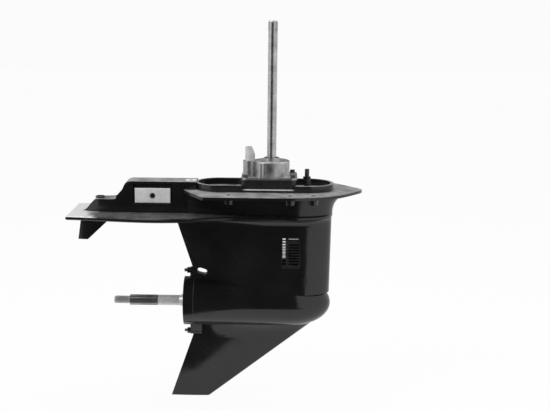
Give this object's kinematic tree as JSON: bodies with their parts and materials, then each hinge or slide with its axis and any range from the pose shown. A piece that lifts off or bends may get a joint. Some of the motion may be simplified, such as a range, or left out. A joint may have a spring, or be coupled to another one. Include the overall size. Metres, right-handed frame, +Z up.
{
  "type": "stern drive lower unit",
  "caption": "Lower unit of a boat drive: vertical driveshaft, water pump, bevel gears, dog clutch and propeller shaft in a finned gear housing with a trim tab.",
  "frame": {"origin": "driveshaft axis at the top face of the splash plate, which is the centre of the four corner stud holes", "axes": "+X to the bow, +Z up along the driveshaft, so starboard is -Y"},
  "size_m": [0.711, 0.2667, 0.94],
  "materials": {
    "black_paint": "gloss enamel",
    "zinc": "cast",
    "dark_steel": "satin",
    "black_plastic": "satin",
    "stainless": "polished",
    "cast_aluminium": "cast",
    "rubber": "matt",
    "pale_plastic": "matt",
    "steel": "ground",
    "gear_steel": "cut",
    "bearing_steel": "ground",
    "bronze": "machined"
  },
  "bodies": {
    "gearcase": {"gear_housing": "black_paint", "side_anode_starboard": "zinc", "side_anode_port": "zinc", "anode_screws": "dark_steel", "inlet_screen_starboard": "black_plastic", "inlet_screen_port": "black_plastic", "pump_face_plate": "stainless", "pump_body": "black_plastic", "pump_liner": "stainless", "pump_cover": "cast_aluminium", "pump_cover_seal": "rubber", "water_tube_grommet": "pale_plastic", "pump_bolts": "dark_steel", "pinion_bearing": "bearing_steel", "upper_bearing_cup": "bearing_steel", "bearing_retainer": "cast_aluminium", "driveshaft_seals": "rubber", "forward_bearing_cup": "bearing_steel", "reverse_bearing_cup": "bearing_steel", "shift_bushings": "bronze", "bearing_carrier": "black_paint", "carrier_bearings": "bearing_steel", "propeller_shaft_seals": "rubber", "carrier_o_ring": "rubber", "carrier_studs": "stainless", "carrier_nuts": "dark_steel", "trim_tab_bolt": "stainless", "drain_plug": "stainless", "level_plug": "stainless"},
    "driveshaft": {"driveshaft": "steel", "pinion": "gear_steel", "pinion_nut": "steel", "impeller": "rubber", "impeller_key": "steel", "upper_bearing_cone": "bearing_steel", "upper_bearing_rollers": "bearing_steel"},
    "forward_gear": {"forward_gear": "gear_steel", "forward_bearing_cone": "bearing_steel", "forward_bearing_rollers": "bearing_steel"},
    "reverse_gear": {"reverse_gear": "gear_steel", "reverse_bearing_cone": "bearing_steel", "reverse_bearing_balls": "bearing_steel"},
    "propeller_shaft": {"propeller_shaft": "steel"},
    "clutch": {"clutch_dog": "gear_steel", "cross_pin": "steel", "shift_slider": "steel"},
    "follower": {"cam_follower": "bronze"},
    "shift_shaft": {"shift_shaft": "steel"},
    "trim_tab": {"trim_tab": "black_paint"}
  },
  "joints": [
    {"name": "driveshaft_spin", "type": "hinge", "parent": "gearcase", "child": "driveshaft", "pos_m": [0, 0, 0], "axis": [0, 0, 1], "continuous": true},
    {"name": "forward_gear_spin", "type": "hinge", "parent": "gearcase", "child": "forward_gear", "pos_m": [0, 0, -0.286], "axis": [1, 0, 0], "continuous": true},
    {"name": "reverse_gear_spin", "type": "hinge", "parent": "gearcase", "child": "reverse_gear", "pos_m": [0, 0, -0.286], "axis": [1, 0, 0], "continuous": true},
    {"name": "propeller_shaft_spin", "type": "hinge", "parent": "gearcase", "child": "propeller_shaft", "pos_m": [0, 0, -0.286], "axis": [1, 0, 0], "continuous": true},
    {"name": "shift_turn", "type": "hinge", "parent": "gearcase", "child": "shift_shaft", "pos_m": [0.087, 0, 0], "axis": [0, 0, 1], "range_deg": [-40.1, 40.1]},
    {"name": "clutch_slide", "type": "slide", "parent": "propeller_shaft", "child": "clutch", "axis": [1, 0, 0], "range_m": [-0.0048, 0.0048]},
    {"name": "follower_slide", "type": "slide", "parent": "gearcase", "child": "follower", "axis": [1, 0, 0], "range_m": [-0.0047, 0.0047]},
    {"name": "trim_tab_pivot", "type": "hinge", "parent": "gearcase", "child": "trim_tab", "pos_m": [-0.419, 0, -0.068], "axis": [0, 0, 1], "range_deg": [-15, 15]}
  ],
  "couplings": [
    {"joint": "forward_gear_spin", "follows": "driveshaft_spin", "ratio": -0.5},
    {"joint": "reverse_gear_spin", "follows": "driveshaft_spin", "ratio": 0.5},
    {"joint": "clutch_slide", "follows": "follower_slide", "ratio": 1},
    {"joint": "shift_turn", "follows": "follower_slide", "rad_per_m": 148.54}
  ]
}
